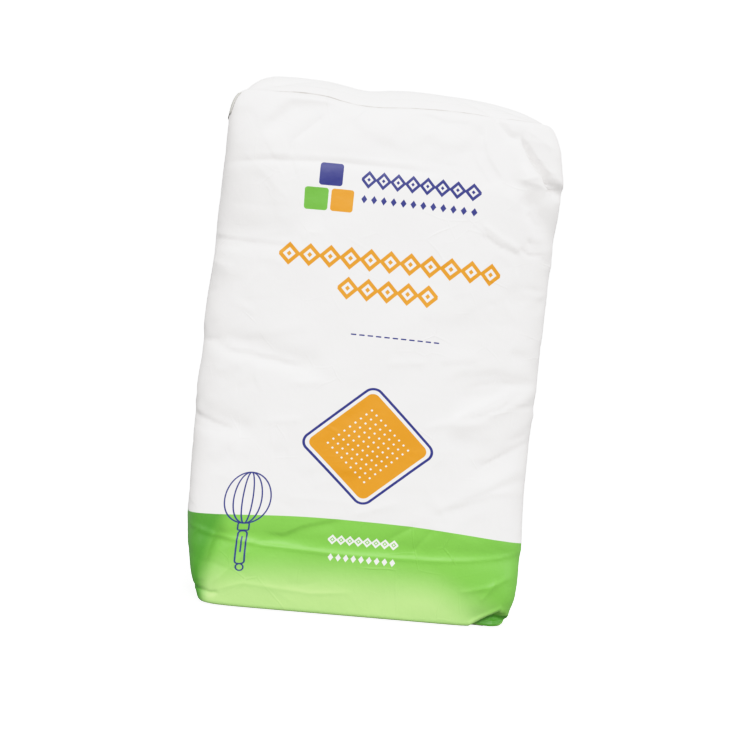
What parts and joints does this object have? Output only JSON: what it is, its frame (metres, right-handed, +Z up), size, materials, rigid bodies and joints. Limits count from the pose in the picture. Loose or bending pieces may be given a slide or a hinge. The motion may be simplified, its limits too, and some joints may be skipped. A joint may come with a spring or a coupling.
{
  "type": "filled paper sack of icing sugar",
  "caption": "Tall filled paper valve sack of icing sugar with block ends, glued cover strips and a valve lip, white with a coloured lower band.",
  "frame": {"origin": "middle of the base, on the plane that the sack stands on", "axes": "+Z up the sack from its base to its valve end, +X to the right across the printed front, which faces -Y, and +Y through the thickness to the back"},
  "size_m": [0.4003, 0.163, 0.6156],
  "materials": {
    "coated_paper": "satin coated",
    "cover_paper": "matt",
    "valve_paper": "matt"
  },
  "bodies": {
    "root": {"paper_sack": "coated_paper", "top_cover_strip": "cover_paper", "bottom_cover_strip": "cover_paper", "valve_lip": "valve_paper"}
  },
  "joints": []
}
